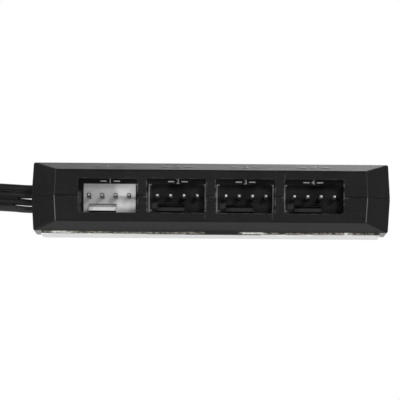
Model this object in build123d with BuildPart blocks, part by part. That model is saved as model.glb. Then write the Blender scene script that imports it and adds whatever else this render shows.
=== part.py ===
"""A small four-port fan hub: two moulded halves, an upright board with pin headers, a tape pad, a flat lead.

Millimetres. X runs along the length, the ports face -Y and +Z is up. The origin is under the middle of the
box, on the release liner's lower face.
"""

from build123d import *
import math
import os

os.makedirs("parts", exist_ok=True)

# Housing
hub_length = 68.4  # at the parting line, where the ends stand out most
hub_depth = 24.0
hub_height = 13.0
end_draft = 3.4  # degrees, on the left and right ends
side_bevel = 4.46  # the front's flat face ends this far inside the box, at the parting line
top_bevel = 1.6  # and this far below its top
bevel_run = 5.5  # depth of the bevels behind the front face
rear_run = 3.0  # and before the rear face, at the same slopes
wall = 1.5
edge_round = 0.4
seam_chamfer = 0.1  # both halves have it, so the parting line is a fine groove

# Ports
port_count = 4
port_pitch = 13.05
port_width = 11.2
port_height = 6.44
port_round = 0.4

# Snap tongues that hold the halves together
tongue_width = 3.0
tongue_thickness = 0.9
tongue_reach = 3.2  # below the parting line
tongue_root = 2.6  # up the wall that carries it
tongue_embed = 0.4
barb = 0.35
barb_height = 0.7
rear_tongue_x = 14.0
end_tongue_y = -3.4
snap_clearance = 0.12

# Board
board_inset = 3.2  # from the box's end, at the parting line, to the board's end
board_thickness = 1.6
board_setback = 13.2  # from the front face to the board's front
board_shift = 0.18  # the board sits a little to the right in its rails
board_corner = 0.6
board_clearance = 0.1  # to the rails, the floor and the ceiling
rail_overlap = 1.5  # how far the rails cover the board's ends
rail_thickness = 1.2

# Headers
pin_pitch = 2.54
pin_count = 4
pin_side = 0.64
pin_setback = 2.0  # from the front face to the pin tips
pin_tail = 1.6
pin_tip = 0.5
pin_tip_taper = 18.0  # degrees
pin_rise = 0.2  # pin row above the parting line
pin_hole = 1.1
header_pitch = 13.04
header_width = 10.0
header_top = 2.6  # base above the pin row
header_bottom = 2.9  # base below the pin row
header_base = 3.2
lock_width = 5.15
lock_thickness = 0.95
lock_reach = 6.3  # in front of the base
lock_barb = 0.15
lock_barb_length = 1.3
lock_nose = 0.3
lock_slot = 0.7
lock_slot_depth = 2.4
lock_pin = 1  # the tab is centred on this pin, counted from 0

# Small parts on the board's rear
capacitor_base = 4.3
capacitor_base_thickness = 0.9
capacitor_base_chamfer = 0.9
capacitor_diameter = 4.0
capacitor_height = 5.4
capacitor_chamfer = 0.3
resistor_length = 2.0
resistor_width = 1.25
resistor_thickness = 0.5
resistor_drop = 3.2  # below the parting line

# Tape
pad_end_inset = 1.8  # from the box's end, at the parting line
pad_side_inset = 0.65  # from the bevels under the box
pad_thickness = 0.45
pad_corner = 0.8
liner_thickness = 0.12

# Lead
core_count = 4
core_pitch = 1.38
core_diameter = 1.2
lead_gap = 0.26  # between the rear rails and the cores
lead_rise = 0.14  # lead's centre above the parting line, at the end wall
lead_climb = 0.35  # the lead rises this much until the cores close up
notch_clearance = 0.25
core_spread = [1.64, 0.24, -1.3, -2.95]  # heights of the cores' inner ends about the lead's centre
split_run = 4.0  # from the end wall to where the cores close up
conductor_diameter = 0.5
conductor_sides = 12
conductor_bend = 0.8
conductor_run = 1.4
conductor_proud = 0.5
conductor_hole = 0.75
lead_hole_inset = [3.6, 5.2]  # from the board's left end to the lead's holes, by turns

# Route of the flat lead from there down to the floor, as distances along -X
lead_drop_start = 9.0
lead_drop_end = 21.0
lead_route_end = 28.0
coil_run = 8.0  # the lead lies straight on the floor before its first turn
coil_radius = 22.5  # middle of the outer turn
coil_turns = 1.5
turn_pitch = 2.0
tie_thickness = 0.5  # the turns rest on the tie
tie_width = 3.0
tie_angle = 200.0  # degrees, where the tie is on the coil
tail_radius = 13.2
tail_root = 50.0  # degrees of the tail's arc that belong to the coil
tail_turn = 120.0

# Plug
plug_width = 10.0
plug_thickness = 5.6
plug_length = 13.0
plug_chamfer = 0.4
plug_bore = 1.15
plug_cavity_width = 2.0
plug_cavity_height = 2.5
plug_cavity_depth = 10.5
plug_rib_width = 0.95
plug_rib_height = 0.8
plug_rib_length = 9.0
plug_rib_clearance = 0.3
plug_window_length = 2.2
plug_window_width = 1.3
plug_window_setback = 4.0
contact_width = 1.7
contact_height = 2.2
contact_length = 8.6
contact_inset = 0.8
contact_bore = 0.8
contact_bore_depth = 6.0

# Places that follow from the sizes
seam_z = liner_thickness + pad_thickness + hub_height / 2
front_y = -hub_depth / 2
face_length = hub_length - 2 * side_bevel
face_height = hub_height - 2 * top_bevel
rear_length = hub_length - 2 * side_bevel * rear_run / bevel_run
rear_height = hub_height - 2 * top_bevel * rear_run / bevel_run
draft = math.tan(math.radians(end_draft))
board_y = front_y + board_setback
board_back_y = board_y + board_thickness
board_length = hub_length - 2 * board_inset
board_height = hub_height - 2 * wall - 2 * board_clearance
board_left_x = board_shift - board_length / 2
pin_z = seam_z + pin_rise
pad_length = hub_length - 2 * pad_end_inset
pad_depth = hub_depth - bevel_run - rear_run - 2 * pad_side_inset
pad_y = (bevel_run - rear_run) / 2
rail_front_y = board_y - board_clearance - rail_thickness
rail_rear_y = board_back_y + board_clearance
lead_y = rail_rear_y + rail_thickness + lead_gap + core_diameter / 2
lead_z = seam_z + lead_rise
lead_width = core_pitch * (core_count - 1) + core_diameter
end_x = -hub_length / 2
split_x = end_x - split_run
seam = Plane.XY.offset(seam_z)
through = 1.0  # cuts start this far outside a wall


def facing_front(y):
    """Plane at the depth y that faces -Y. Its own x is X and its own y is Z."""
    return Plane(origin=(0, y, 0), x_dir=(1, 0, 0), z_dir=(0, -1, 0))


def facing_rear(y):
    """Plane at the depth y that faces +Y. Its own x is -X and its own y is Z."""
    return Plane(origin=(0, y, 0), x_dir=(-1, 0, 0), z_dir=(0, 1, 0))


def port_x(i):
    return (i - (port_count - 1) / 2) * port_pitch


def header_x(i):
    return (i - (port_count - 1) / 2) * header_pitch + board_shift


def pin_offset(k):
    return (k - (pin_count - 1) / 2) * pin_pitch


def finish(builder, name):
    builder.part.label = name
    export_step(builder.part, f"parts/{name}.step")


# Outer form of the whole box: a drafted bar with a frustum at the front and one at the rear
sections = [
    (front_y, face_length, face_height),
    (front_y + bevel_run, hub_length, hub_height),
    (-front_y - rear_run, hub_length, hub_height),
    (-front_y, rear_length, rear_height),
]
with BuildPart() as hub_form:
    for y, length, height in sections:
        far_x = length / 2 - draft * height / 2
        with BuildSketch(facing_front(y)):
            with BuildLine():
                Polyline(
                    (-length / 2, seam_z),
                    (-far_x, seam_z + height / 2),
                    (far_x, seam_z + height / 2),
                    (length / 2, seam_z),
                    (far_x, seam_z - height / 2),
                    (-far_x, seam_z - height / 2),
                    close=True,
                )
            make_face()
    loft(ruled=True)

with BuildPart() as hub_cavity:
    offset(hub_form.part, amount=-wall, kind=Kind.INTERSECTION)

# Snap tongues stand on the inner faces of the rear wall and of both ends
rear_inner_y = hub_depth / 2 - wall
end_inner_x = hub_length / 2 - wall * math.sqrt(1 + draft**2) - draft * tongue_reach
snap_planes = [
    Plane(origin=(x, y, seam_z), x_dir=outward, z_dir=Vector(outward).cross(Vector(0, 0, 1)))
    for x, y, outward in (
        (-rear_tongue_x, rear_inner_y, (0, 1, 0)),
        (rear_tongue_x, rear_inner_y, (0, 1, 0)),
        (-end_inner_x, end_tongue_y, (-1, 0, 0)),
        (end_inner_x, end_tongue_y, (1, 0, 0)),
    )
]
rail_x = board_length / 2 - abs(board_shift) - rail_overlap


# Where each core ends, goes through the end wall and joins the flat lead
core_ends = []
wall_heights = []
for n, spread in enumerate(core_spread):
    hole_x = board_left_x + lead_hole_inset[n % len(lead_hole_inset)]
    inner_x = hole_x - conductor_run
    inner_z = lead_z + spread
    flat_z = lead_z + lead_climb + ((core_count - 1) / 2 - n) * core_pitch
    core_ends.append((hole_x, inner_x, inner_z, flat_z))
    wall_heights.append(flat_z + (inner_z - flat_z) * split_run / (inner_x - split_x))

# The two halves: side is 1 above the parting plane and -1 below it
rail_end_x = hub_length / 2 - wall / 2 - draft * hub_height / 2
rail_rise = hub_height / 2 - wall / 2
notch_z = (wall_heights[0] + wall_heights[-1]) / 2
notch_height = wall_heights[0] - wall_heights[-1] + core_diameter + 2 * notch_clearance
for side, name in ((1, "upper_shell"), (-1, "lower_shell")):
    with BuildPart() as shell:
        add(hub_form.part)
        split(bisect_by=seam, keep=Keep.TOP if side > 0 else Keep.BOTTOM)
        fillet([e for e in shell.edges() if abs(e.center().Z - seam_z) > seam_chamfer], edge_round)
        chamfer([e for e in shell.edges() if abs(e.center().Z - seam_z) < seam_chamfer], seam_chamfer)
        add(hub_cavity.part, mode=Mode.SUBTRACT)
        # rails in front of the board and behind it, at both ends
        with BuildSketch(seam):
            for x in (-(rail_x + rail_end_x) / 2, (rail_x + rail_end_x) / 2):
                for y in (rail_front_y, rail_rear_y):
                    with Locations((x, y + rail_thickness / 2)):
                        Rectangle(rail_end_x - rail_x, rail_thickness)
        extrude(amount=side * rail_rise)
        # ports, through the front wall
        with BuildSketch(facing_front(front_y - through)):
            with Locations(*[(port_x(i), seam_z) for i in range(port_count)]):
                RectangleRounded(port_width, port_height, port_round)
        extrude(amount=-(through + wall + port_round), mode=Mode.SUBTRACT)
        # notch for the lead's cores, through the left end
        with BuildSketch(Plane(origin=(end_x - through, lead_y, notch_z), x_dir=(0, 1, 0), z_dir=(1, 0, 0))):
            Rectangle(core_diameter + 2 * notch_clearance, notch_height)
        extrude(amount=through + wall + draft * hub_height / 2, mode=Mode.SUBTRACT)
        # tongues on the upper half, and pockets for their barbs in the lower one
        for plane in snap_planes:
            if side > 0:
                with BuildSketch(plane):
                    with BuildLine():
                        Polyline(
                            (tongue_embed, 0),
                            (tongue_embed, tongue_root),
                            (-snap_clearance - tongue_thickness, tongue_root),
                            (-snap_clearance - tongue_thickness, -tongue_reach),
                            (-snap_clearance, -tongue_reach),
                            (barb, -tongue_reach + barb_height),
                            (-snap_clearance, -tongue_reach + barb_height),
                            (-snap_clearance, 0),
                            close=True,
                        )
                    make_face()
                extrude(amount=tongue_width / 2, both=True)
            else:
                with BuildSketch(plane):
                    with Locations((0, -tongue_reach + barb_height / 2)):
                        Rectangle(2 * (barb + snap_clearance), barb_height + 2 * snap_clearance)
                extrude(amount=tongue_width / 2 + snap_clearance, both=True, mode=Mode.SUBTRACT)
    finish(shell, name)

# Board, with a hole for each pin and for each core of the lead
pin_places = [(header_x(i) + pin_offset(k), pin_z) for i in range(port_count) for k in range(pin_count)]
with BuildPart() as circuit_board:
    with BuildSketch(facing_front(board_back_y)):
        with Locations((board_shift, seam_z)):
            RectangleRounded(board_length, board_height, board_corner)
        with Locations(*pin_places):
            Circle(pin_hole / 2, mode=Mode.SUBTRACT)
        with Locations(*[(hole_x, inner_z) for hole_x, _, inner_z, _ in core_ends]):
            Circle(conductor_hole / 2, mode=Mode.SUBTRACT)
    extrude(amount=board_thickness)
finish(circuit_board, "circuit_board")

# Headers: a moulded base with a springy lock tab below the pins, and the pins that are pressed through it
base_front_y = board_y - header_base
lock_tip_y = base_front_y - lock_reach
lock_low_z = pin_z - header_bottom
lock_high_z = lock_low_z + lock_thickness
pin_start_y = front_y + pin_setback + pin_tip
pin_end_y = board_back_y + pin_tail
for i in range(port_count):
    lock_x = header_x(i) + pin_offset(lock_pin)
    own_pins = [(header_x(i) + pin_offset(k), pin_z) for k in range(pin_count)]
    with BuildPart() as header:
        with BuildSketch(facing_front(board_y)):
            with Locations((header_x(i), pin_z + (header_top - header_bottom) / 2)):
                Rectangle(header_width, header_top + header_bottom)
            with Locations(*own_pins):
                Rectangle(pin_side, pin_side, mode=Mode.SUBTRACT)
        extrude(amount=header_base)
        with BuildSketch(facing_front(base_front_y)):
            with Locations((lock_x, lock_high_z + lock_slot / 2)):
                Rectangle(lock_width, lock_slot)
        extrude(amount=-lock_slot_depth, mode=Mode.SUBTRACT)
        with BuildSketch(Plane(origin=(lock_x, 0, 0), x_dir=(0, 1, 0), z_dir=(1, 0, 0))):
            with BuildLine():
                Polyline(
                    (base_front_y + lock_slot_depth, lock_low_z),
                    (lock_tip_y, lock_low_z),
                    (lock_tip_y, lock_high_z - lock_nose),
                    (lock_tip_y + lock_barb_length - lock_nose, lock_high_z + lock_barb),
                    (lock_tip_y + lock_barb_length, lock_high_z + lock_barb),
                    (lock_tip_y + lock_barb_length, lock_high_z),
                    (base_front_y + lock_slot_depth, lock_high_z),
                    close=True,
                )
            make_face()
        extrude(amount=lock_width / 2, both=True)
    finish(header, f"header_{i + 1}")

    with BuildPart() as header_pins:
        with BuildSketch(facing_front(pin_start_y)):
            with Locations(*own_pins):
                Rectangle(pin_side, pin_side)
        extrude(amount=pin_start_y - pin_end_y)
        with BuildSketch(facing_front(pin_start_y)):
            with Locations(*own_pins):
                Rectangle(pin_side, pin_side)
        extrude(amount=pin_tip, taper=pin_tip_taper)
    finish(header_pins, f"header_pins_{i + 1}")

# Small parts on the board's rear: a can capacitor between the middle headers, a chip resistor behind each one
with BuildPart() as bulk_capacitor:
    with BuildSketch(facing_rear(board_back_y)):
        with Locations((-board_shift, seam_z)):
            base = Rectangle(capacitor_base, capacitor_base)
        chamfer(base.vertices().sort_by(Axis.Z)[-2:], capacitor_base_chamfer)
    extrude(amount=capacitor_base_thickness)
    with BuildSketch(facing_rear(board_back_y + capacitor_base_thickness)):
        with Locations((-board_shift, seam_z)):
            Circle(capacitor_diameter / 2)
    extrude(amount=capacitor_height - capacitor_base_thickness)
    chamfer(bulk_capacitor.edges().filter_by(GeomType.CIRCLE).sort_by(Axis.Y)[-1], capacitor_chamfer)
finish(bulk_capacitor, "bulk_capacitor")

with BuildPart() as chip_resistors:
    with BuildSketch(facing_rear(board_back_y)):
        with Locations(*[(-header_x(i), seam_z - resistor_drop) for i in range(port_count)]):
            Rectangle(resistor_length, resistor_width)
    extrude(amount=resistor_thickness)
finish(chip_resistors, "chip_resistors")

# Tape pad under the box, and the liner that still covers it
with BuildPart() as adhesive_pad:
    with BuildSketch(Plane.XY.offset(liner_thickness)):
        with Locations((0, pad_y)):
            RectangleRounded(pad_length, pad_depth, pad_corner)
    extrude(amount=pad_thickness)
finish(adhesive_pad, "adhesive_pad")

with BuildPart() as release_liner:
    with BuildSketch():
        with Locations((0, pad_y)):
            RectangleRounded(pad_length, pad_depth, pad_corner)
    extrude(amount=liner_thickness)
finish(release_liner, "release_liner")

# Cores of the lead, apart from each other where they pass the end wall
with BuildPart() as lead_cores:
    for _, inner_x, inner_z, flat_z in core_ends:
        with BuildLine() as core_line:
            Line((split_x, lead_y, flat_z), (inner_x, lead_y, inner_z))
        with BuildSketch(Plane(origin=core_line.line @ 0, z_dir=(1, 0, 0))):
            Circle(core_diameter / 2)
        sweep()
finish(lead_cores, "lead_cores")

# Their bare ends, bent into the board and soldered there
with BuildPart() as lead_conductors:
    for hole_x, inner_x, inner_z, _ in core_ends:
        with BuildLine() as bent_line:
            Polyline(
                (inner_x, lead_y, inner_z),
                (hole_x - conductor_bend, lead_y, inner_z),
                (hole_x, lead_y - conductor_bend, inner_z),
                (hole_x, board_y - conductor_proud, inner_z),
            )
        with BuildSketch(Plane(origin=bent_line.line @ 0, z_dir=bent_line.line % 0)):
            RegularPolygon(conductor_diameter / 2, conductor_sides)
        sweep(transition=Transition.RIGHT)
finish(lead_conductors, "lead_conductors")

# Flat lead, on edge, from the box down to the floor
floor_z = tie_thickness + lead_width / 2
air_z = lead_z + lead_climb
route = [
    Vector(split_x, lead_y, air_z),
    Vector(split_x - lead_drop_start, lead_y, air_z),
    Vector(split_x - lead_drop_end, lead_y, floor_z),
    Vector(split_x - lead_route_end, lead_y, floor_z),
]
runs = [b - a for a, b in zip(route, route[1:])]
bends = []
for before, after in zip(runs, runs[1:]):
    shorter = min(before.length, after.length)
    bends.append(0.45 * shorter / math.tan(math.radians(before.get_angle(after) / 2)))
print("lead bend radii", [round(r, 1) for r in bends], "lead width", round(lead_width, 2))

with BuildPart() as lead_ribbon:
    with BuildLine() as lead_line:
        FilletPolyline(*route, radius=bends)
    with BuildSketch(Plane(origin=lead_line.line @ 0, x_dir=(0, 1, 0), z_dir=lead_line.line % 0)):
        Rectangle(core_diameter, lead_width)
    sweep()
swept = core_diameter * lead_width * sum(e.length for e in lead_line.edges())
print("lead volume", round(lead_ribbon.part.volume, 2), "section times length", round(swept, 2))
finish(lead_ribbon, "lead_ribbon")

# Coil: the outer shape of the turns, with the straight stretch that runs into it and the root of its tail
coil_entry_x = route[-1].X
coil_x = coil_entry_x - coil_run
coil_y = lead_y - coil_radius
coil_inner = coil_radius - turn_pitch * coil_turns - core_diameter / 2
coil_outer = coil_radius + core_diameter / 2
tail_y = coil_y - (coil_radius - turn_pitch * coil_turns - tail_radius)
tail_start = -90.0
with BuildPart() as lead_coil:
    with BuildSketch(Plane.XY.offset(tie_thickness)):
        with Locations((coil_x, coil_y)):
            Circle(coil_outer)
            Circle(coil_inner, mode=Mode.SUBTRACT)
        with Locations(((coil_entry_x + coil_x) / 2, lead_y)):
            Rectangle(coil_run, core_diameter)
        with BuildLine() as root_line:
            CenterArc((coil_x, tail_y), tail_radius, tail_start, tail_root)
        trace(line_width=core_diameter)
    extrude(amount=lead_width)
finish(lead_coil, "lead_coil")

with BuildPart() as lead_tail:
    with BuildSketch(Plane.XY.offset(tie_thickness)):
        with BuildLine() as tail_line:
            CenterArc((coil_x, tail_y), tail_radius, tail_start + tail_root, tail_turn - tail_root)
        trace(line_width=core_diameter)
    extrude(amount=lead_width)
finish(lead_tail, "lead_tail")

# Tie, closed round the section of the coil
tie_out = Vector(1, 0, 0).rotate(Axis.Z, tie_angle)
tie_plane = Plane(origin=(coil_x, coil_y, 0), x_dir=tie_out, z_dir=tie_out.cross(Vector(0, 0, 1)))
with BuildPart() as coil_tie:
    with BuildSketch(tie_plane):
        with Locations(((coil_inner + coil_outer) / 2, tie_thickness + lead_width / 2)):
            Rectangle(coil_outer - coil_inner + 2 * tie_thickness, lead_width + 2 * tie_thickness)
            Rectangle(coil_outer - coil_inner, lead_width, mode=Mode.SUBTRACT)
    revolve(axis=Axis((coil_x, coil_y, 0), (0, 0, 1)), revolution_arc=math.degrees(tie_width / coil_radius))
finish(coil_tie, "coil_tie")

# Plug at the end of the tail, lying inside the coil: its own y runs from the cores to the mating end
plug_at = Vector(coil_x, tail_y, 0) + Vector(tail_radius, 0, 0).rotate(Axis.Z, tail_start + tail_turn)
plug_ahead = Vector(1, 0, 0).rotate(Axis.Z, tail_start + tail_turn + 90)
plug_across = plug_ahead.cross(Vector(0, 0, 1))
plug_base = Plane(origin=plug_at, x_dir=plug_across, z_dir=(0, 0, 1))
plug_rear = Plane(origin=plug_at + Vector(0, 0, plug_thickness / 2), x_dir=plug_across, z_dir=plug_ahead)
rib_offset = lock_width / 2 + plug_rib_clearance + plug_rib_width / 2
with BuildPart() as plug_housing:
    with BuildSketch(plug_base):
        with Locations((0, plug_length / 2)):
            Rectangle(plug_width, plug_length)
    extrude(amount=plug_thickness)
    mating_end = plug_housing.faces().sort_by(Axis(plug_at, plug_ahead))[-1]
    chamfer(mating_end.edges(), plug_chamfer)
    with BuildSketch(plug_base.offset(plug_thickness)):
        for rib_x in (pin_offset(lock_pin) - rib_offset, pin_offset(lock_pin) + rib_offset):
            with Locations((rib_x, plug_length - plug_chamfer - plug_rib_length / 2)):
                Rectangle(plug_rib_width, plug_rib_length)
    extrude(amount=plug_rib_height)
    with BuildSketch(plug_rear):
        with Locations(*[(pin_offset(k), 0) for k in range(pin_count)]):
            Rectangle(plug_cavity_width, plug_cavity_height)
    extrude(amount=plug_cavity_depth, mode=Mode.SUBTRACT)
    with BuildSketch(plug_rear):
        with Locations(*[(pin_offset(k), 0) for k in range(pin_count)]):
            Rectangle(plug_bore, plug_bore)
    extrude(amount=plug_length, mode=Mode.SUBTRACT)
    with BuildSketch(plug_base):
        with Locations(*[(pin_offset(k), plug_window_setback) for k in range(pin_count)]):
            Rectangle(plug_window_width, plug_window_length)
    extrude(amount=plug_thickness / 2, mode=Mode.SUBTRACT)
finish(plug_housing, "plug_housing")

# Contacts, each on the floor of its cavity
contact_drop = (plug_cavity_height - contact_height) / 2
with BuildPart() as plug_contacts:
    with BuildSketch(plug_rear.offset(contact_inset)):
        with Locations(*[(pin_offset(k), contact_drop) for k in range(pin_count)]):
            Rectangle(contact_width, contact_height)
    extrude(amount=contact_length)
    with BuildSketch(plug_rear.offset(contact_inset + contact_length)):
        with Locations(*[(pin_offset(k), 0) for k in range(pin_count)]):
            Rectangle(contact_bore, contact_bore)
    extrude(amount=-contact_bore_depth, mode=Mode.SUBTRACT)
finish(plug_contacts, "plug_contacts")
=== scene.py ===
# Looks of the four-port fan hub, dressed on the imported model. Everything is in metres.
import functools
import math

import bpy
from mathutils import Matrix, Vector, noise


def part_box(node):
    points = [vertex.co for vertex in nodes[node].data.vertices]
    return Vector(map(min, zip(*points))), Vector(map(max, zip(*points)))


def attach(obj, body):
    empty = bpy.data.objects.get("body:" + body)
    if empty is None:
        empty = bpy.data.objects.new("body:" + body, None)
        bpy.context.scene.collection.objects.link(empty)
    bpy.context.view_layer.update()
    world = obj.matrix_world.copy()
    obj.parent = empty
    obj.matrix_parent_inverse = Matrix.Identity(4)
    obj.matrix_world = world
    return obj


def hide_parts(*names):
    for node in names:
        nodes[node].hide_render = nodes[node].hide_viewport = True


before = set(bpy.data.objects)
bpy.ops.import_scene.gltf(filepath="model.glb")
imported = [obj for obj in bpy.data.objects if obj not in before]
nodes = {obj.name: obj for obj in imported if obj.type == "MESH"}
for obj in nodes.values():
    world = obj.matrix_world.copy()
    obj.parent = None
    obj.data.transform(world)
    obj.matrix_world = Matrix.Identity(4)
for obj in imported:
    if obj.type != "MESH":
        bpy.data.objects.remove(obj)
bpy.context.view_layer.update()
scene = bpy.context.scene
print("frame loaded with", len(nodes), "nodes")


# one output socket of a node tree, so that shader maths reads as plain sums
class Flow:
    def __init__(self, tree, socket=None):
        self.tree = tree
        self.socket = socket

    # adds a node and gives the flow that leaves it
    def make(self, kind, inputs=None, out=0, **settings):
        node = self.tree.nodes.new("ShaderNode" + kind)
        for name, value in settings.items():
            setattr(node, name, value)
        for name, value in (inputs or {}).items():
            if isinstance(value, Flow):
                self.tree.links.new(value.socket, node.inputs[name])
            else:
                node.inputs[name].default_value = value
        return Flow(self.tree, node.outputs[out]) if out is not None else None

    def sums(self, operation, *values):
        return self.make("Math", dict(enumerate(values)), operation=operation)

    def __add__(self, other):
        return self.sums("ADD", self, other)

    def __radd__(self, other):
        return self.sums("ADD", other, self)

    def __sub__(self, other):
        return self.sums("SUBTRACT", self, other)

    def __rsub__(self, other):
        return self.sums("SUBTRACT", other, self)

    def __mul__(self, other):
        return self.sums("MULTIPLY", self, other)

    def __rmul__(self, other):
        return self.sums("MULTIPLY", other, self)

    def __abs__(self):
        return self.sums("ABSOLUTE", self)

    # the larger of the two
    def most(self, other):
        return self.sums("MAXIMUM", self, other)

    # distance from the middle of the nearest repeat
    def repeat(self, pitch):
        return self.sums("WRAP", self, pitch, 0.0) - pitch / 2

    # 0 below low, 1 above high
    def rise(self, low, high):
        return self.make("MapRange", {0: self, 1: low, 2: high}, interpolation_type="SMOOTHSTEP")

    # 1 within half of the middle, with soft sides
    def band(self, middle, half, soft):
        return 1 - abs(self - middle).rise(half - soft, half + soft)

    # the first colour where this is 0, the second where it is 1
    def blend(self, first, second):
        return self.make("Mix", {0: self, 6: first, 7: second}, out=2, data_type="RGBA")


def startMaterial(name):
    material = bpy.data.materials.new(name)
    material.use_nodes = True
    material.node_tree.nodes.clear()
    return material, Flow(material.node_tree)


def place(flow, axis):
    coords = flow.make("TexCoord", out="Object")
    return flow.make("SeparateXYZ", {0: coords}, out=axis)


def places(flow):
    return [place(flow, axis) for axis in "XYZ"]


def grain(flow, size, detail, stretch=(1, 1, 1)):
    coords = flow.make("TexCoord", out="Object")
    spread = flow.make("Mapping", {"Vector": coords, "Scale": stretch})
    return flow.make("TexNoise", {"Vector": spread, "Scale": 1 / size, "Detail": detail})


# 1 on each stretch of a list, given by its middle and half length
def patches(along, stretches, soft):
    return functools.reduce(Flow.most, [along.band(*stretch, soft) for stretch in stretches])


def bumped(flow, height, distance, strength):
    return flow.make("Bump", {"Height": height, "Distance": distance, "Strength": strength})


def endMaterial(flow, inputs):
    surface = flow.make("BsdfPrincipled", inputs)
    flow.make("OutputMaterial", {"Surface": surface}, out=None)


def dress(piece, material):
    piece.data.materials.clear()
    piece.data.materials.append(material)


def grey(level):
    return (level, level, level, 1.0)


def lookAt(eye, aim):
    return (Vector(aim) - Vector(eye)).to_track_quat("-Z", "Y")


# camera, below the floor's level and looking up a little
view = {
    "eye": (-0.00205, -0.8106, -0.04162),
    "aim": (-0.00205, -0.012, 0.00629),
    "roll": 0.45,  # degrees
    "lens": 380.0,  # millimetres, like the sensor
    "sensor": 36.0,
    "near": 0.01,
}
cameraData = bpy.data.cameras.new("photoCamera")
cameraData.lens = view["lens"]
cameraData.sensor_width = view["sensor"]
cameraData.clip_start = view["near"]
camera = bpy.data.objects.new("photoCamera", cameraData)
scene.collection.objects.link(camera)
camera.location = view["eye"]
roll = Matrix.Rotation(math.radians(view["roll"]), 3, "Z")
camera.rotation_euler = (lookAt(view["eye"], view["aim"]).to_matrix() @ roll).to_euler()
scene.camera = camera
scene.view_settings.view_transform = "Standard"


# soft studio: bright behind and below, dimmer on the camera's side, plain white to the camera itself
studio = {
    "front": 0.12,
    "behind": 1.2,
    "below": 1.0,
    "above": 0.7,
    "toBehind": (-0.2, 0.7),  # where each change of level starts and ends, as parts of a unit direction
    "toBelow": (0.05, 0.5),
    "toAbove": (0.3, 0.9),
}
world = bpy.data.worlds.new("softStudio")
scene.world = world
world.use_nodes = True
world.node_tree.nodes.clear()
flow = Flow(world.node_tree)
way = flow.make("TexCoord", out="Generated")
depthWay = flow.make("SeparateXYZ", {0: way}, out="Y")
heightWay = flow.make("SeparateXYZ", {0: way}, out="Z")
level = studio["front"] + (studio["behind"] - studio["front"]) * depthWay.rise(*studio["toBehind"])
level = level + (studio["below"] - level) * (0 - heightWay).rise(*studio["toBelow"])
level = level + (studio["above"] - level) * heightWay.rise(*studio["toAbove"])
lit = flow.make("Background", {"Strength": level})
seen = flow.make("Background", {"Color": grey(1.0), "Strength": 1.0})
toCamera = flow.make("LightPath", out="Is Camera Ray")
sky = flow.make("MixShader", {0: toCamera, 1: lit, 2: seen})
flow.make("OutputWorld", {"Surface": sky}, out=None)

lampAim = (0, 0, 0.008)
lamps = [
    # name, place, width and height, watts, whether it shows in shiny surfaces
    ("boxByCamera", (0.01, -0.90, -0.055), (0.10, 0.10), 2.3, False),
    ("smallByCamera", (0.12, -0.88, 0.12), (0.06, 0.06), 1.15, True),
    ("stripAtLeft", (-0.487, -0.66, 0.03), (0.07, 0.12), 2.8, True),
    ("boxAtRight", (0.62, -0.52, 0.06), (0.12, 0.12), 1.2, True),
    ("boxBehind", (0.22, 0.80, 0.42), (0.50, 0.50), 4.0, True),
]
for name, where, (wide, tall), watts, shows in lamps:
    lampData = bpy.data.lights.new(name, "AREA")
    lampData.energy = watts
    lampData.shape = "RECTANGLE"
    lampData.size = wide
    lampData.size_y = tall
    lamp = bpy.data.objects.new(name, lampData)
    scene.collection.objects.link(lamp)
    lamp.location = where
    lamp.rotation_euler = lookAt(where, lampAim).to_euler()
    lamp.visible_glossy = shows

# floor: pale from above and see-through from below, where the camera is. It blocks no light.
floorLook = {
    "size": 3.0,
    "height": -0.00002,
    "shade": 0.82,
}
bpy.ops.object.select_all(action="DESELECT")
bpy.ops.mesh.primitive_plane_add(size=floorLook["size"], location=(0, 0, floorLook["height"]))
floor = bpy.context.object
floor.name = "paleFloor"
bpy.ops.object.transform_apply(location=True)
material, flow = startMaterial("palePaper")
pale = flow.make("BsdfDiffuse", {"Color": grey(floorLook["shade"])})
clear = flow.make("BsdfTransparent")
fromBelow = flow.make("NewGeometry", out="Backfacing")
paper = flow.make("MixShader", {0: fromBelow, 1: pale, 2: clear})
flow.make("OutputMaterial", {"Surface": paper}, out=None)
dress(floor, material)
floor.visible_diffuse = False
floor.visible_glossy = False
floor.visible_transmission = False
floor.visible_shadow = False
print("studio ready")


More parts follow.
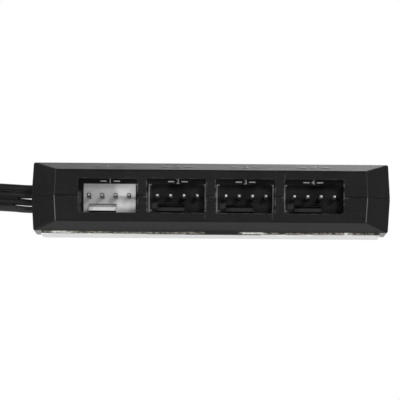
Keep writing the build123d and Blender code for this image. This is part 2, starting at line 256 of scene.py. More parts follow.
# flat lead: four cores with thin webs between them, on edge until its end turns flat into the plug
lead = {
    "corePitch": 0.00134,
    "coreSplit": 0.00064,  # half height of a core where it leaves the box
    "coreJoined": 0.000665,  # and where it has closed up with its neighbours
    "coreHalf": 0.0006,  # half thickness of the flat lead
    "coreSides": 16,
    "lineSteps": 6,
    "webHalf": 0.0003,
    "webReach": 1.2,  # widest gap with a web, in pitches
    "exit": (-0.0342, 0.00496, 0.00721),
    "route": [
        (-0.0282, 0.00496, 0.00690),  # inside the box, where the cores end
        (-0.0342, 0.00496, 0.00721),
        (-0.0382, 0.00496, 0.00741),
        (-0.0472, 0.00496, 0.00788),
        (-0.0592, 0.00496, 0.00317),
        (-0.0662, 0.00496, 0.00317),
        (-0.0702, 0.00496, 0.00317),
    ],
    "coilMiddle": (-0.0742, -0.01754),
    "coilRadius": 0.0225,
    "coilTurns": 1.5,
    "turnPitch": 0.002,
    "turnSteps": 16,
    # the coil's last, tighter part, which runs into the plug
    "tailMiddle": (-0.0742, -0.02384),
    "tailRadius": 0.0132,
    "tailTurn": 120.0,  # degrees
    "tailSteps": 5,
    "floorHeight": 0.00317,
    "plugHeight": 0.0028,
    "plugDepth": 0.0008,  # the cores go this far into the plug
    # each core's end in the box (x, z), its height in the end wall, and its run until it has closed up
    "cores": [
        (-0.02882, 0.00885, 0.00930, 0.0030),
        (-0.02722, 0.00745, 0.00796, 0.0030),
        (-0.02882, 0.00591, 0.00650, 0.0023),
        (-0.02722, 0.00426, 0.00513, 0.0035),
    ],
    "webStarts": [-0.0330, -0.0364, -0.0376],
    "twistRun": 0.018,
    "fanRun": 0.007,
    "fanFlat": 0.003,  # run in front of its end where the cores are at the plug's pitch
    "plugPitch": 0.00254,
    "width": 0.00534,
    "length": 0.27,
    "grain": 0.00035,
    "streak": 0.0006,
    "bump": 0.000006,
    "plainVinyl": {
        "dark": (0.0042, 0.0042, 0.0048, 1),
        "light": (0.012, 0.0122, 0.0138, 1),
        "shine": 0.25,
        "roughness": 0.32,
    },
    # the lowest core: a marked core whose lighter colour is partly a painted highlight from the bright
    # light below
    "markedVinylPaintedHighlight": {
        "dark": (0.009, 0.009, 0.0115, 1),
        "light": (0.022, 0.022, 0.027, 1),
        "shine": 0.5,
        "roughness": 0.24,
    },
}


def smoothLine(points):
    curve = bpy.data.curves.new("smoothLine", "CURVE")
    curve.dimensions = "3D"
    curve.resolution_u = lead["lineSteps"]
    spline = curve.splines.new("NURBS")
    spline.points.add(len(points) - 1)
    for knot, spot in zip(spline.points, points):
        knot.co = (*spot, 1.0)
    spline.order_u = 3
    spline.use_endpoint_u = True
    line = bpy.data.objects.new("smoothLine", curve)
    scene.collection.objects.link(line)
    drawn = bpy.data.meshes.new_from_object(line)
    spots = [v.co.copy() for v in drawn.vertices]
    bpy.data.objects.remove(line)
    bpy.data.meshes.remove(drawn)
    return spots


def towards(angle):
    return Vector((math.cos(angle), math.sin(angle), 0))


# the smooth line runs a little inside its control points, so they stand this much further out
def reachFor(step):
    return 1 / (0.75 + 0.25 * math.cos(step))


def leadRoute():
    points = [Vector(p) for p in lead["route"]]
    step = 2 * math.pi / lead["turnSteps"]
    middle = Vector((*lead["coilMiddle"], lead["floorHeight"]))
    for k in range(1, round(lead["coilTurns"] * lead["turnSteps"])):
        radius = lead["coilRadius"] - lead["turnPitch"] * k / lead["turnSteps"]
        points.append(middle + radius * reachFor(step) * towards(math.pi / 2 + k * step))
    middle = Vector((*lead["tailMiddle"], lead["floorHeight"]))
    step = math.radians(lead["tailTurn"]) / lead["tailSteps"]
    for k in range(lead["tailSteps"]):
        angle = -math.pi / 2 + (k + 0.5) * step
        points.append(middle + lead["tailRadius"] * reachFor(step) * towards(angle))
    last = -math.pi / 2 + math.radians(lead["tailTurn"])
    end = middle + lead["tailRadius"] * towards(last)
    end.z = lead["plugHeight"]
    return points + [end, end + lead["plugDepth"] * towards(last + math.pi / 2)]


# soft vinyl with drawn streaks along the lead
def leadVinyl(name, dark, light, shine, roughness):
    material, flow = startMaterial(name)
    fine = grain(flow, lead["grain"], 3.0)
    streak = grain(flow, lead["streak"], 2.0, (0.12, 0.12, 1))
    endMaterial(flow, {
        "Base Color": streak.rise(0.5, 0.75).blend(dark, light),
        "Specular IOR Level": shine,
        "Roughness": roughness + 0.2 * streak,
        "Normal": bumped(flow, fine, lead["bump"], 0.5),
    })
    return material


# 0 to 1 with a soft start and end
def ease(share):
    share = min(max(share, 0.0), 1.0)
    return share * share * (3 - 2 * share)


# for each spot: its place, direction, the way across the cores, and how far they have fanned out
def leadFrames(spots, along):
    frames = []
    total = along[-1]
    for k, spot in enumerate(spots):
        tangent = (spots[min(k + 1, len(spots) - 1)] - spots[max(k - 1, 0)]).normalized()
        upright = (Vector((0, 0, 1)) - tangent * tangent.z).normalized()
        side = upright.cross(tangent)
        turned = (along[k] - (total - lead["twistRun"])) / (lead["twistRun"] - lead["plugDepth"])
        twist = math.pi / 2 * ease(turned)
        across = math.cos(twist) * upright + math.sin(twist) * side
        fan = ease((along[k] - (total - lead["fanRun"])) / (lead["fanRun"] - lead["fanFlat"]))
        frames.append((spot, tangent, across, fan))
    return frames


def ringAt(centre, tangent, across, half, thin):
    normal = tangent.cross(across)
    turns = [2 * math.pi * k / lead["coreSides"] for k in range(lead["coreSides"])]
    return [centre + across * half * math.cos(t) + normal * thin * math.sin(t) for t in turns]


# joins rings of points into a skin that is closed at both ends
def sweep(vertices, faces, rings):
    start = len(vertices)
    count = len(rings[0])
    for ring in rings:
        vertices.extend(ring)
    for r in range(len(rings) - 1):
        for k in range(count):
            a = start + r * count + k
            b = start + r * count + (k + 1) % count
            faces.append((a, b, b + count, a + count))
    faces.append(tuple(range(start + count - 1, start - 1, -1)))
    faces.append(tuple(range(start + (len(rings) - 1) * count, start + len(rings) * count)))


def makeLead():
    spots = smoothLine(leadRoute())
    along = [0.0]
    for a, b in zip(spots, spots[1:]):
        along.append(along[-1] + (b - a).length)
    frames = leadFrames(spots, along)
    vertices, faces = [], []
    middleCore = (len(lead["cores"]) - 1) / 2
    wallX, wallY, _ = lead["exit"]
    coreLines = []
    for n, (endX, endZ, wallZ, closeRun) in enumerate(lead["cores"]):
        line = {-1: (Vector((endX, wallY, endZ)), Vector((-1, 0, 0)), Vector((0, 0, 1)))}
        rings = [ringAt(*line[-1], lead["coreSplit"], lead["coreHalf"])]
        for k, (spot, tangent, across, fan) in enumerate(frames):
            if spot.x > endX:
                continue
            pitch = lead["corePitch"] + (lead["plugPitch"] - lead["corePitch"]) * fan
            centre = spot + across * pitch * (middleCore - n)
            half = lead["coreJoined"]
            if spot.y > 0 and spot.x > wallX:  # inside the box
                centre.z = endZ + (wallZ - endZ) * (endX - spot.x) / (endX - wallX)
                half = lead["coreSplit"]
            elif spot.y > 0:  # closing up
                share = min((wallX - spot.x) / closeRun, 1.0)
                centre.z = wallZ + (centre.z - wallZ) * share
                half = lead["coreSplit"] + (lead["coreJoined"] - lead["coreSplit"]) * share
            half += (lead["coreSplit"] - half) * fan
            line[k] = (centre, tangent, across)
            rings.append(ringAt(centre, tangent, across, half, lead["coreHalf"]))
        coreLines.append(line)
        lastCore = len(faces)
        sweep(vertices, faces, rings)
    websFrom = len(faces)
    for n, webStart in enumerate(lead["webStarts"]):
        rings = []
        for k, (a, tangent, across) in coreLines[n].items():
            b = coreLines[n + 1].get(k, (a, 0, 0))[0]
            gap = (a - b).length
            if 0 < gap < lead["webReach"] * lead["corePitch"] and (a.x < webStart or a.y < 0):
                rings.append(ringAt((a + b) / 2, tangent, across, gap / 2, lead["webHalf"]))
        sweep(vertices, faces, rings)
    mesh = bpy.data.meshes.new("flat_lead")
    mesh.from_pydata([tuple(v) for v in vertices], [], faces)
    mesh.update()
    piece = bpy.data.objects.new("flat_lead", mesh)
    scene.collection.objects.link(piece)
    mesh.polygons.foreach_set("use_smooth", [True] * len(mesh.polygons))
    mesh.materials.append(leadVinyl("leadVinyl", **lead["plainVinyl"]))
    mesh.materials.append(leadVinyl("leadVinylMarkedPaintedHighlight", **lead["markedVinylPaintedHighlight"]))
    for face in mesh.polygons[lastCore:websFrom]:  # the lowest core is marked, and its lighter colour is partly a painted highlight
        face.material_index = 1
    return piece, spots, along[-1]


leadPiece, leadPath, leadTotal = makeLead()
print("lead is", round(leadTotal, 4), "m long")

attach(leadPiece, "root")
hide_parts("lead_cores", "lead_ribbon", "lead_coil", "lead_tail")


# strap round the coil: a woven band with its end lapped over the outside
strap = {
    "thickness": 0.0005,
    "width": 0.003,
    "corner": 0.0004,  # bend where it goes over the lead's edge
    "cornerSteps": 4,
    "cuts": 2,
    "slack": 0.00005,
    "lapLength": 0.0034,
    "soft": 0.00012,  # rounding of its edges
    "softSteps": 2,
    "smoothAngle": 35.0,  # degrees
    "angle": 203.8,  # degrees round the coil, at the strap's middle
    "thread": 0.00042,
    "threadWobble": 0.6,
    "fuzz": 0.00015,
    "bump": 0.0001,
}


def makeStrap():
    low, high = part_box("coil_tie")
    angle = math.radians(strap["angle"])
    middle = Vector((*lead["coilMiddle"], 0))
    turn = (strap["angle"] - 90.0) / 360.0  # turns of the coil before the strap
    outer = lead["coilRadius"] - lead["turnPitch"] * turn + lead["coreHalf"] + strap["slack"]
    inner = lead["coilRadius"] - lead["turnPitch"] * (turn + 1) - lead["coreHalf"] - strap["slack"]
    square = 0.9  # least part of a normal or edge along Y
    bpy.ops.object.select_all(action="DESELECT")
    bpy.ops.mesh.primitive_cube_add(size=1.0)
    piece = bpy.context.object
    piece.name = "coil_strap"
    piece.scale = (outer - inner, strap["width"], high.z - low.z - 2 * strap["thickness"])
    bpy.ops.object.transform_apply(scale=True)
    bpy.ops.object.mode_set(mode="EDIT")
    bpy.ops.mesh.select_mode(type="FACE")
    bpy.ops.mesh.select_all(action="DESELECT")
    bpy.ops.object.mode_set(mode="OBJECT")
    for face in piece.data.polygons:  # both open sides
        face.select = abs(face.normal.y) > square
    bpy.ops.object.mode_set(mode="EDIT")
    bpy.ops.mesh.delete(type="FACE")
    bpy.ops.mesh.select_mode(type="EDGE")
    bpy.ops.mesh.select_all(action="DESELECT")
    bpy.ops.object.mode_set(mode="OBJECT")
    for edge in piece.data.edges:  # the four bends
        a, b = (piece.data.vertices[v].co for v in edge.vertices)
        edge.select = abs((a - b).normalized().y) > square
    bpy.ops.object.mode_set(mode="EDIT")
    bpy.ops.mesh.bevel(offset=strap["corner"], segments=strap["cornerSteps"])
    bpy.ops.mesh.select_all(action="SELECT")
    bpy.ops.mesh.subdivide(number_cuts=strap["cuts"])
    bpy.ops.object.mode_set(mode="OBJECT")
    wall = piece.modifiers.new("wall", "SOLIDIFY")
    wall.thickness = strap["thickness"]
    wall.offset = 1.0
    bpy.ops.object.modifier_apply(modifier="wall")
    bpy.ops.object.mode_set(mode="EDIT")
    bpy.ops.mesh.primitive_cube_add(
        size=1.0,
        location=((outer - inner) / 2 + 1.5 * strap["thickness"], 0, 0),
        scale=(strap["thickness"], strap["width"], strap["lapLength"]),
    )
    bpy.ops.object.mode_set(mode="OBJECT")
    soft = piece.modifiers.new("soft", "BEVEL")
    soft.width = strap["soft"]
    soft.segments = strap["softSteps"]
    bpy.ops.object.modifier_apply(modifier="soft")
    spot = middle + (inner + outer) / 2 * towards(angle)
    spot.z = (low.z + high.z) / 2
    piece.matrix_world = Matrix.Translation(spot) @ Matrix.Rotation(angle, 4, "Z")
    bpy.ops.object.transform_apply(location=True, rotation=True)
    bpy.ops.object.shade_smooth_by_angle(angle=math.radians(strap["smoothAngle"]))
    return piece


def strapWeave():
    material, flow = startMaterial("strapWeave")
    coords = flow.make("TexCoord", out="Object")
    turned = flow.make("Mapping", {"Vector": coords, "Rotation": (0, 0, -math.radians(strap["angle"]))})
    waveRate = 20  # the wave texture's own factor
    threads = {
        "Vector": turned,
        "Scale": 1 / strap["thread"] / waveRate,
        "Distortion": strap["threadWobble"],
    }
    warp = flow.make("TexWave", threads, bands_direction="Y")
    weft = flow.make("TexWave", threads, bands_direction="Z")
    fuzz = grain(flow, strap["fuzz"], 3.0)
    weave = warp * weft + 0.3 * fuzz
    endMaterial(flow, {
        "Base Color": weave.rise(0.05, 0.9).blend((0.008, 0.008, 0.009, 1), (0.035, 0.035, 0.038, 1)),
        "Roughness": 0.95 - 0.1 * fuzz,
        "Normal": bumped(flow, weave, strap["bump"], 0.8),
        "Sheen Weight": 0.3,
    })
    return material


strapPiece = makeStrap()
dress(strapPiece, strapWeave())
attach(strapPiece, "root")
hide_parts("coil_tie")
print("lead and strap ready")


# housing: black moulded plastic with a fine eroded texture, with painted highlights along its edges, port
# rims and below the parting line
housing = {
    "frontY": -0.012,
    "faceSkin": (0.0002, 0.0005),  # depth over which the flat front's marks end
    "seamZ": 0.00707,
    "faceHalf": 0.02974,
    "underZ": 0.00057,
    "underSkin": (0.00001, 0.00003),
    "draft": math.tan(math.radians(3.4)),
    "ports": 4,
    "portPitch": 0.01305,
    "portHalfWidth": 0.0056,
    "portHalfHeight": 0.00322,
    "grain": 0.00019,
    "cloud": 0.007,
    "patch": 0.0011,
    "streak": 0.0005,
    "ripple": 0.0006,
    "bump": 0.00003,
    # painted highlight lines: half width and softness
    "edgeLine": (0.00007, 0.00005),
    "edgeEnds": (0.0051, 0.0046),  # heights from the parting line between which the edges' painted highlight fades
    "rimLine": (0.00014, 0.00008),
    "rimCorner": 0.0004,
    "lipLine": (0.0002, 0.00012, 0.00008),  # drop below the parting line, half width, softness
    "seamSoft": 0.0002,
    "rowEnd": (0.0258, 0.0260),
    "firstRim": (-0.0248, -0.0244),  # left of this the rims' painted highlight is faint
    # x and middle height, from the parting line, of faint moulding lines at the ports' corners
    "weldLines": [(-0.0011, -0.0038), (0.0117, -0.0038), (0.0140, 0.0038)],
    "weldAcross": (0.00008, 0.00005),
    "weldAlong": (0.0005, 0.0001),
}


def housingPlastic():
    material, flow = startMaterial("housingPlastic")
    x, y, z = places(flow)
    fine = grain(flow, housing["grain"], 3.0)
    cloud = grain(flow, housing["cloud"], 3.0)
    patchy = grain(flow, housing["patch"], 2.0).rise(0.44, 0.6)
    height = z - housing["seamZ"]
    onFront = 1 - y.rise(*(housing["frontY"] + depth for depth in housing["faceSkin"]))
    # painted highlight on the corner edges of the flat front, stronger below the parting line
    edgeX = housing["faceHalf"] - housing["draft"] * abs(height)
    edge = (abs(x) - edgeX).band(0.0, *housing["edgeLine"]) * onFront
    edge = edge * abs(height).rise(*housing["edgeEnds"])
    belowSeam = (0 - height).rise(-housing["seamSoft"], housing["seamSoft"])
    edge = edge * (0.22 + 0.78 * belowSeam) * cloud.rise(0.2, 0.5)
    # painted highlight on the rims of the ports
    outX = abs(x.repeat(housing["portPitch"])) - housing["portHalfWidth"]
    outZ = abs(height) - housing["portHalfHeight"]
    inRow = (1 - abs(x).rise(*housing["rowEnd"])) * (0.3 + 0.7 * x.rise(*housing["firstRim"]))
    rimSides = outX.band(0.0, *housing["rimLine"]) * (1 - outZ.rise(-housing["rimCorner"], 0.0))
    rimFlats = outZ.band(0.0, *housing["rimLine"]) * (1 - outX.rise(-housing["rimCorner"], 0.0))
    rim = (rimSides + 0.3 * rimFlats) * onFront * inRow * patchy
    # painted highlight on the lip below the parting line
    lip = (0 - height).band(*housing["lipLine"]) * patchy * outX.rise(0.0, housing["seamSoft"])
    # all painted highlights together: edges, rims and lip, which also make the surface a little smoother
    paintedHighlight = flow.sums("MINIMUM", 1.3 * edge + 0.75 * rim + 0.35 * lip, 1.3)
    base = cloud.rise(0.35, 0.65).blend((0.0042, 0.0042, 0.0046, 1), (0.0062, 0.0062, 0.0067, 1))
    colour = fine.rise(0.56, 0.70).blend(base, (0.021, 0.021, 0.023, 1))
    for weldX, weldZ in housing["weldLines"]:
        line = x.band(weldX, *housing["weldAcross"]) * height.band(weldZ, *housing["weldAlong"]) * onFront
        colour = (0.5 * line).blend(colour, (0.05, 0.05, 0.052, 1))
    # the painted highlights lighten the colour
    colour = (0.55 * paintedHighlight).blend(colour, (0.17, 0.17, 0.172, 1))
    # the underside is smoother, with a smear of glue round the pad
    under = 1 - z.rise(*(housing["underZ"] + depth for depth in housing["underSkin"]))
    colour = (under * (0.6 + 0.4 * patchy)).blend(colour, (0.034, 0.024, 0.013, 1))
    drawn = grain(flow, housing["streak"], 2.0, (0.04, 1, 1)) - 0.5
    ripple = grain(flow, housing["ripple"], 2.0)
    endMaterial(flow, {
        "Base Color": colour,
        "Specular IOR Level": 0.14,
        "Roughness": (0.47 + 0.14 * fine + 0.12 * drawn - 0.12 * paintedHighlight) * (1 - 0.44 * under),
        "Normal": bumped(flow, fine + 0.25 * ripple, housing["bump"], 0.55),
    })
    return material


plastic = housingPlastic()
for name in ("upper_shell", "lower_shell"):
    dress(nodes[name], plastic)
print("housing ready")


# board: black mask with a white frame printed round each header
board = {
    "headerPitch": 0.01304,
    "shift": 0.00018,
    "middleY": 0.002,
    "skin": (0.00079, 0.000795),  # distance from its middle where the cut edges end and the mask starts
    "frameShift": 0.00009,
    "frameHalf": 0.0054,
    "frameTop": 0.0029,
    "frameLow": -0.0029,
    "innerLine": -0.00207,
    "lineHalf": 0.00009,
    "lineSoft": 0.00004,
    "leftHalf": 0.00007,
    "rightHalf": 0.0001,  # the frames' right sides are printed wider
    # from here rightwards each frame's ink is painted lighter, as painted light
    "paintedLightFrom": (0.0, 0.001),
    # where the ink fades out: painted shade at both ends of the row
    "inkEnd": (0.021, 0.024),
    "trackScale": 420.0,
    "trackLine": 0.012,
    "grain": 0.00012,
    "bump": 0.00002,
}


def boardMask():
    material, flow = startMaterial("boardMask")
    x, y, z = places(flow)
    height = z - housing["seamZ"]
    localX = (x - board["frameShift"]).repeat(board["headerPitch"])
    half, soft = board["lineHalf"], board["lineSoft"]
    middle = (board["frameTop"] + board["frameLow"]) / 2
    tall = (board["frameTop"] - board["frameLow"]) / 2
    left = localX.band(-board["frameHalf"], board["leftHalf"], soft)
    right = localX.band(board["frameHalf"], board["rightHalf"], soft)
    sides = (left + right) * height.band(middle, tall + half, soft)
    levels = [(board[name], half) for name in ("frameTop", "frameLow", "innerLine")]
    flats = patches(height, levels, soft) * abs(localX).band(0.0, board["frameHalf"] + half, soft)
    rough = grain(flow, board["grain"], 2.0)
    # the ink fades out towards both ends of the row: painted shade where those lines lie in shadow
    ink = sides.most(flats) * (0.7 + 0.3 * rough) * (1 - abs(x).rise(*board["inkEnd"]))
    coords = flow.make("TexCoord", out="Object")
    tracks = flow.make("TexBrick", {
        "Vector": flow.make("Mapping", {"Vector": coords, "Rotation": (math.pi / 2, 0, 0)}),
        "Scale": board["trackScale"],
        "Mortar Size": board["trackLine"],
        "Color1": grey(0.0),
        "Color2": grey(0.0),
        "Mortar": grey(1.0),
    }, out="Fac", offset=0.5)
    mask = tracks.blend((0.017, 0.0172, 0.018, 1), (0.021, 0.0215, 0.022, 1))
    onFace = abs(y - board["middleY"]).rise(*board["skin"])  # the cut edges show the glass laminate
    # the right half of each frame is painted lighter: painted light
    white = localX.rise(*board["paintedLightFrom"]).blend((0.42, 0.42, 0.41, 1), (0.66, 0.66, 0.65, 1))
    endMaterial(flow, {
        "Base Color": ink.blend(onFace.blend((0.05, 0.048, 0.03, 1), mask), white),
        "Roughness": 0.32 + 0.3 * ink + 0.1 * rough,
        "Normal": bumped(flow, 0.5 * tracks + ink + 0.2 * rough, board["bump"], 0.5),
    })
    return material


dress(nodes["circuit_board"], boardMask())


# raised or printed figures, one for each port, between two short bars
figures = {
    "curveSteps": 4,
    "barBevel": 0.3,  # of the thickness
    "joinWithin": 1e-7,
}


def makeFigures(name, look, thickness, matrixFor):
    made = []
    for i in range(housing["ports"]):
        bpy.ops.object.select_all(action="DESELECT")
        bpy.ops.object.text_add()
        figure = bpy.context.object
        figure.data.body = str(i + 1)
        figure.data.size = look["size"]
        figure.data.align_x = "CENTER"
        figure.data.align_y = "CENTER"
        figure.data.extrude = thickness / 2
        figure.data.resolution_u = figures["curveSteps"]
        bpy.ops.object.convert(target="MESH")
        figure.matrix_world = matrixFor(i)
        bpy.ops.object.transform_apply(location=True, rotation=True)
        made.append(figure)
        for side in (-1, 1):
            bpy.ops.object.select_all(action="DESELECT")
            bpy.ops.mesh.primitive_cube_add(size=1.0)
            bar = bpy.context.object
            bar.scale = (look["barLength"], look["barHeight"], thickness)
            bpy.ops.object.transform_apply(scale=True)
            bpy.ops.object.mode_set(mode="EDIT")
            bpy.ops.mesh.bevel(offset=thickness * figures["barBevel"], segments=1)
            bpy.ops.object.mode_set(mode="OBJECT")
            aside = side * (look["barGap"] + look["barLength"] / 2)
            bar.matrix_world = matrixFor(i) @ Matrix.Translation((aside, 0, 0))
            bpy.ops.object.transform_apply(location=True, rotation=True)
            made.append(bar)
    bpy.ops.object.select_all(action="DESELECT")
    for piece in made:
        piece.select_set(True)
    bpy.context.view_layer.objects.active = made[0]
    bpy.ops.object.join()
    piece = bpy.context.object
    piece.name = name
    bpy.ops.object.mode_set(mode="EDIT")
    bpy.ops.mesh.select_all(action="SELECT")
    bpy.ops.mesh.remove_doubles(threshold=figures["joinWithin"])
    bpy.ops.mesh.normals_make_consistent(inside=False)
    bpy.ops.object.mode_set(mode="OBJECT")
    return piece


def portX(i, pitch):
    return (i - (housing["ports"] - 1) / 2) * pitch


marks = {
    "size": 0.0028,
    "barLength": 0.0015,
    "barHeight": 0.0006,
    "barGap": 0.0014,
    "height": 0.00006,  # how far the moulded figures stand out
    "sink": 0.00003,
    "bevelRun": 0.0055,
    "bevelRise": 0.0016,
    "share": 0.47,  # up the bevel
    "topZ": 0.01197,
    "patch": 0.0009,
    "bump": 0.00001,
}
slope = math.atan2(marks["bevelRise"], marks["bevelRun"])


def onBevel(i):
    out = Vector((0, -math.sin(slope), math.cos(slope))) * (marks["height"] - marks["sink"]) / 2
    spot = Vector((
        portX(i, housing["portPitch"]),
        housing["frontY"] + marks["share"] * marks["bevelRun"],
        marks["topZ"] + marks["share"] * marks["bevelRise"],
    ))
    return Matrix.Translation(spot + out) @ Matrix.Rotation(slope, 4, "X")


# the figures are smoother than the plastic round them
def figurePlastic():
    material, flow = startMaterial("figurePlastic")
    fine = grain(flow, housing["grain"], 3.0)
    patch = grain(flow, marks["patch"], 2.0)
    endMaterial(flow, {
        "Base Color": patch.rise(0.3, 0.7).blend((0.010, 0.010, 0.0108, 1), (0.028, 0.028, 0.029, 1)),
        "Specular IOR Level": 0.2,
        "Roughness": 0.4 + 0.12 * fine,
        "Normal": bumped(flow, fine, marks["bump"], 0.5),
    })
    return material


marksPiece = makeFigures("moulded_figures", marks, marks["height"] + marks["sink"], onBevel)
dress(marksPiece, figurePlastic())
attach(marksPiece, "root")

label = {
    "size": 0.0013,
    "barLength": 0.0012,
    "barHeight": 0.00022,
    "barGap": 0.0007,
    "thickness": 0.00003,
    "height": 0.00352,  # above the parting line
    "patch": 0.00016,
    "bump": 0.00001,
}


def onBoard(i):
    spot = (
        portX(i, board["headerPitch"]) + board["shift"],
        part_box("circuit_board")[0].y - label["thickness"] / 2,
        housing["seamZ"] + label["height"],
    )
    return Matrix.Translation(spot) @ Matrix.Rotation(math.pi / 2, 4, "X")


def printInk():
    material, flow = startMaterial("printInk")
    patch = grain(flow, label["patch"], 2.0)
    endMaterial(flow, {
        "Base Color": patch.rise(0.3, 0.7).blend((0.78, 0.78, 0.77, 1), (0.92, 0.92, 0.9, 1)),
        "Roughness": 0.6 + 0.2 * patch,
        "Normal": bumped(flow, patch, label["bump"], 0.4),
    })
    return material


inkPiece = makeFigures("printed_figures", label, label["thickness"], onBoard)
dress(inkPiece, printInk())
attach(inkPiece, "root")
print("board and figures ready")


# headers and plug: moulded nylon. On black headers the lock tab's tip, a corner beside it and its slot
# are painted paler, as painted light that lifts their shade.
tab = {
    "tipY": -0.0083,
    "tipSkin": (0.0001, 0.0003),
    "baseY": -0.002,
    "baseSoft": 0.0002,
    "slotZ": (0.00567, 0.00036, 0.00005),  # middle, half height, softness
    "cornerX": (-0.00437, 0.00053, 0.0001),  # the same, across from the header's middle
    "cornerZ": (0.0058, 0.0005, 0.0001),
}
# painted light: paler colours that lift the shade on the tab's tip, a corner beside it and inside its
# slot
tabPaintedLight = {
    "tip": (0.02, 0.02, 0.0212, 1),
    "corner": (0.027, 0.027, 0.028, 1),
    "slot": (0.055, 0.055, 0.057, 1),
}
moulding = {
    "flowMarks": 0.0016,
    "grain": 0.00012,
    "bump": 0.00001,
    "glowReach": (0.0006, 0.0006, 0.0005),
}
whiteShades = {
    "dark": (0.58, 0.58, 0.58, 1),
    "light": (0.64, 0.64, 0.64, 1),
    "roughness": 0.38,
    "shine": 0.5,
    "glow": 0.25,
}
blackShades = {
    "dark": (0.005, 0.005, 0.0054, 1),
    "light": (0.009, 0.009, 0.0095, 1),
    "roughness": 0.38,
    "shine": 0.11,
    "glow": 0.0,
}


def nylon(name, dark, light, roughness, shine, glow, pale=None):
    material, flow = startMaterial(name)
    flowMarks = grain(flow, moulding["flowMarks"], 3.0, (1, 0.35, 1))
    fine = grain(flow, moulding["grain"], 2.0)
    colour = flowMarks.rise(0.3, 0.7).blend(dark, light)
    if pale:
        x, y, z = places(flow)
        localX = (x - board["shift"]).repeat(board["headerPitch"])
        # painted light on the tab's tip, a corner beside it and its slot
        tip = 1 - y.rise(*(tab["tipY"] + depth for depth in tab["tipSkin"]))
        corner = localX.band(*tab["cornerX"]) * z.band(*tab["cornerZ"])
        slot = z.band(*tab["slotZ"]) * y.rise(tab["baseY"], tab["baseY"] + tab["baseSoft"])
        colour = tip.blend(colour, pale["tip"])
        colour = corner.blend(colour, pale["corner"])
        colour = slot.blend(colour, pale["slot"])
    endMaterial(flow, {
        "Base Color": colour,
        "Roughness": roughness + 0.16 * fine,
        "Specular IOR Level": shine,
        "Subsurface Weight": glow,
        "Subsurface Radius": moulding["glowReach"],
        "Normal": bumped(flow, fine + 0.5 * flowMarks, moulding["bump"], 0.5),
    })
    return material


dress(nodes["header_1"], nylon("whiteNylon", **whiteShades))
headerNylon = nylon("headerNylon", **blackShades, pale=tabPaintedLight)
for name in ("header_2", "header_3", "header_4"):
    dress(nodes[name], headerNylon)
dress(nodes["plug_housing"], nylon("plugNylon", **blackShades))


# tinned pins and contacts
tin = {
    "drawn": 0.0002,
    "cloud": 0.0008,
    "bump": 0.000004,
}


def tinPlate(name, dark, light, roughness):
    material, flow = startMaterial(name)
    drawn = grain(flow, tin["drawn"], 3.0, (1, 0.15, 1))
    cloud = grain(flow, tin["cloud"], 2.0)
    endMaterial(flow, {
        "Base Color": cloud.rise(0.3, 0.7).blend(dark, light),
        "Metallic": 1.0,
        "Roughness": roughness + 0.18 * drawn,
        "Normal": bumped(flow, drawn, tin["bump"], 0.5),
    })
    return material


# a darker copy of the tin: painted shade for the pins of the white header; the lead's conductors use it
# too
shadedTin = tinPlate("shadedTin", (0.30, 0.295, 0.28, 1), (0.46, 0.455, 0.44, 1), 0.42)
for name in ("header_pins_1", "lead_conductors"):
    dress(nodes[name], shadedTin)
brightTin = tinPlate("brightTin", (0.56, 0.555, 0.54, 1), (0.74, 0.735, 0.72, 1), 0.46)
for name in ("header_pins_2", "header_pins_3", "header_pins_4", "plug_contacts"):
    dress(nodes[name], brightTin)


# small parts behind the board
can = {
    "baseTop": (0.00088, 0.00092),  # from the board's side
    "topSkin": (0.0004, 0.0003),  # from the far end
    "stripeZ": (0.0008, 0.00085),  # above the parting line
    "brushed": 0.0003,
    "bump": 0.000006,
}


def canMetal():
    material, flow = startMaterial("canMetal")
    low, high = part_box("bulk_capacitor")
    y = place(flow, "Y")
    base = 1 - y.rise(*(low.y + depth for depth in can["baseTop"]))
    onTop = y.rise(*(high.y - depth for depth in can["topSkin"]))
    stripe = (place(flow, "Z") - housing["seamZ"]).rise(*can["stripeZ"]) * onTop
    dark = base.most(stripe)
    brushed = grain(flow, can["brushed"], 3.0, (1, 0.1, 1))
    metal = brushed.rise(0.3, 0.7).blend((0.55, 0.55, 0.56, 1), (0.75, 0.75, 0.76, 1))
    endMaterial(flow, {
        "Base Color": dark.blend(metal, (0.012, 0.012, 0.013, 1)),
        "Metallic": 1 - dark,
        "Roughness": 0.3 + 0.15 * brushed + 0.15 * dark,
        "Normal": bumped(flow, brushed, can["bump"], 0.4),
    })
    return material


chip = {
    "bodyHalf": (0.00066, 0.0007),
    "grain": 0.0001,
    "bump": 0.000008,
}


def chipGlaze():
    material, flow = startMaterial("chipGlaze")
    localX = (place(flow, "X") - board["shift"]).repeat(board["headerPitch"])
    cap = abs(localX).rise(*chip["bodyHalf"])
    fine = grain(flow, chip["grain"], 2.0)
    body = fine.rise(0.3, 0.7).blend((0.012, 0.012, 0.014, 1), (0.022, 0.022, 0.025, 1))
    endMaterial(flow, {
        "Base Color": cap.blend(body, (0.7, 0.69, 0.66, 1)),
        "Metallic": cap,
        "Roughness": 0.25 + 0.2 * fine,
        "Normal": bumped(flow, fine, chip["bump"], 0.4),
    })
    return material


dress(nodes["bulk_capacitor"], canMetal())
dress(nodes["chip_resistors"], chipGlaze())
print("headers, pins and small parts ready")


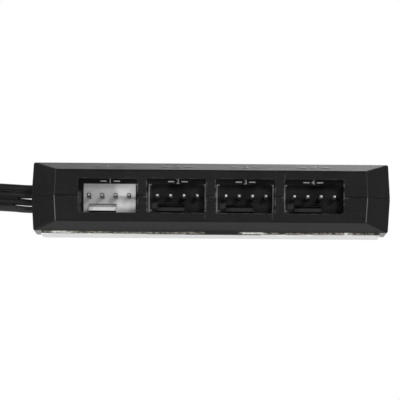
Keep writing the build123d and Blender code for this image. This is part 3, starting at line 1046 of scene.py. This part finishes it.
# tape pad: foam with a cut, frayed edge, over its white liner
tape = {
    "cells": (150, 28),
    "corner": 0.0008,
    "edgeZone": 0.0003,
    "fray": 0.0002,
    "frayLength": 0.0012,
    "frayMean": 0.45,
    "fraySpread": 0.8,
    "frayMost": 1.2,
    # middle and half length, along the front edge
    "palePatches": [(-0.0283, 0.0019), (0.0081, 0.0020), (0.0259, 0.0007)],
    "paleSoft": 0.0006,
    "darkPatches": [(0.0021, 0.0034), (0.0316, 0.0005)],
    "darkSoft": 0.0005,
    "darkTops": [(-0.0120, 0.0073), (0.0155, 0.0055)],  # where its top is in the housing's shadow
    "topSoft": 0.001,
    "topZ": (0.00044, 0.00050),
    "paleFeet": [(-0.0227, 0.0033), (0.0245, 0.0075)],  # where its lowest part is pale
    "footZ": (0.00017, 0.00024),
    "shadow": (0.012, 0.0115, 0.011, 1),
    "cellScale": 5200.0,
    "streak": 0.0007,
    "fibre": 0.00035,
    "bump": 0.00006,
}


def makeTape():
    low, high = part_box("adhesive_pad")
    half = Vector(((high.x - low.x) / 2, (high.y - low.y) / 2))
    cellsX, cellsY = tape["cells"]
    bpy.ops.object.select_all(action="DESELECT")
    bpy.ops.mesh.primitive_grid_add(x_subdivisions=cellsX, y_subdivisions=cellsY, size=1.0)
    piece = bpy.context.object
    piece.name = "foam_tape"
    piece.scale = (2 * half.x, 2 * half.y, 1)
    bpy.ops.object.transform_apply(scale=True)
    corner = tape["corner"]
    for vertex in piece.data.vertices:
        co = vertex.co
        over = Vector((abs(co.x) - (half.x - corner), abs(co.y) - (half.y - corner)))
        if over.x > 0 and over.y > 0:  # rounded corners
            over *= max(over.x, over.y) / over.length
            co.x = math.copysign(half.x - corner + over.x, co.x)
            co.y = math.copysign(half.y - corner + over.y, co.y)
        onSide = abs(co.y) > half.y - tape["edgeZone"]
        onEnd = abs(co.x) > half.x - tape["edgeZone"]
        if onSide or onEnd:  # uneven cut, inwards only
            bite = noise.noise(Vector((co.x, co.y, 0.3)) / tape["frayLength"])
            bite += 0.5 * noise.noise(Vector((co.x, co.y, 0.7)) / (0.4 * tape["frayLength"]))
            bite = min(max(tape["frayMean"] + tape["fraySpread"] * bite, 0.0), tape["frayMost"])
            bite *= tape["fray"]
            if onSide:
                co.y -= math.copysign(bite, co.y)
            if onEnd:
                co.x -= math.copysign(bite, co.x)
    wall = piece.modifiers.new("wall", "SOLIDIFY")
    wall.thickness = high.z - low.z
    wall.offset = 1.0
    bpy.ops.object.modifier_apply(modifier="wall")
    piece.location = ((low.x + high.x) / 2, (low.y + high.y) / 2, low.z)
    bpy.ops.object.transform_apply(location=True)
    return piece


def foamEdge():
    material, flow = startMaterial("foamEdge")
    x, z = place(flow, "X"), place(flow, "Z")
    coords = flow.make("TexCoord", out="Object")
    cells = flow.make("TexVoronoi", {"Vector": coords, "Scale": tape["cellScale"]})
    streak = grain(flow, tape["streak"], 4.0, (1, 1, 2.5))
    fibre = grain(flow, tape["fibre"], 3.0, (1, 1, 3))
    colour = streak.rise(0.40, 0.60).blend((0.03, 0.028, 0.024, 1), (0.20, 0.185, 0.155, 1))
    colour = (0.55 * fibre.rise(0.55, 0.66)).blend(colour, (0.36, 0.34, 0.29, 1))
    colour = patches(x, tape["darkPatches"], tape["darkSoft"]).blend(colour, tape["shadow"])
    pale = patches(x, tape["palePatches"], tape["paleSoft"])
    colour = (pale * fibre.rise(0.38, 0.5)).blend(colour, (0.66, 0.65, 0.62, 1))
    highest = z.rise(*tape["topZ"]) * patches(x, tape["darkTops"], tape["topSoft"])
    colour = (0.85 * highest).blend(colour, tape["shadow"])
    # the lowest part of the foam, where it meets the liner, is painted dark as shade, and pale along
    # paleFeet
    paleFoot = patches(x, tape["paleFeet"], tape["paleSoft"])
    foot = paleFoot.blend((0.02, 0.019, 0.017, 1), (0.38, 0.37, 0.35, 1))
    lowest = 1 - z.rise(*tape["footZ"])
    colour = (0.8 * lowest).blend(colour, foot)
    endMaterial(flow, {
        "Base Color": colour,
        "Roughness": 0.75 + 0.2 * fibre,
        "Normal": bumped(flow, cells + fibre, tape["bump"], 0.6),
    })
    return material


liner = {
    "fibre": 0.0004,
    "sheen": 0.009,
    "crease": 0.0035,
    "bump": 0.00002,
    "edgeSkin": (0.00002, 0.00006),
    # glue on its cut front edge: middle, half length, softness
    "glued": (0.0024, 0.0074, 0.0003),
    "halfGlued": (-0.0085, 0.0040, 0.001),
    "spotSize": 0.0022,
    "spotsFrom": (-0.0325, -0.0305),
}


def linerPaper():
    material, flow = startMaterial("linerPaper")
    fibre = grain(flow, liner["fibre"], 4.0, (1, 0.5, 1))
    sheen = grain(flow, liner["sheen"], 2.0)
    crease = grain(flow, liner["crease"], 3.0, (1, 2.5, 1)).rise(0.56, 0.7)
    colour = sheen.rise(0.3, 0.7).blend((0.80, 0.80, 0.795, 1), (0.88, 0.88, 0.875, 1))
    # creases painted darker: painted shade in the creases
    colour = (0.6 * crease).blend(colour, (0.68, 0.68, 0.675, 1))
    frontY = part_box("release_liner")[0].y
    onEdge = 1 - place(flow, "Y").rise(*(frontY + depth for depth in liner["edgeSkin"]))
    x = place(flow, "X")
    spots = 0.45 * grain(flow, liner["spotSize"], 2.0).rise(0.3, 0.5) * x.rise(*liner["spotsFrom"])
    spots = spots.most(0.8 * x.band(*liner["halfGlued"]))
    glue = onEdge * x.band(*liner["glued"]).most(spots)
    endMaterial(flow, {
        "Base Color": glue.blend(colour, (0.022, 0.021, 0.019, 1)),
        "Roughness": 0.42 + 0.2 * fibre,
        "Normal": bumped(flow, fibre + sheen, liner["bump"], 0.5),
    })
    return material


tapePiece = makeTape()
dress(tapePiece, foamEdge())
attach(tapePiece, "root")
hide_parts("adhesive_pad")
dress(nodes["release_liner"], linerPaper())
print("tape and liner ready")
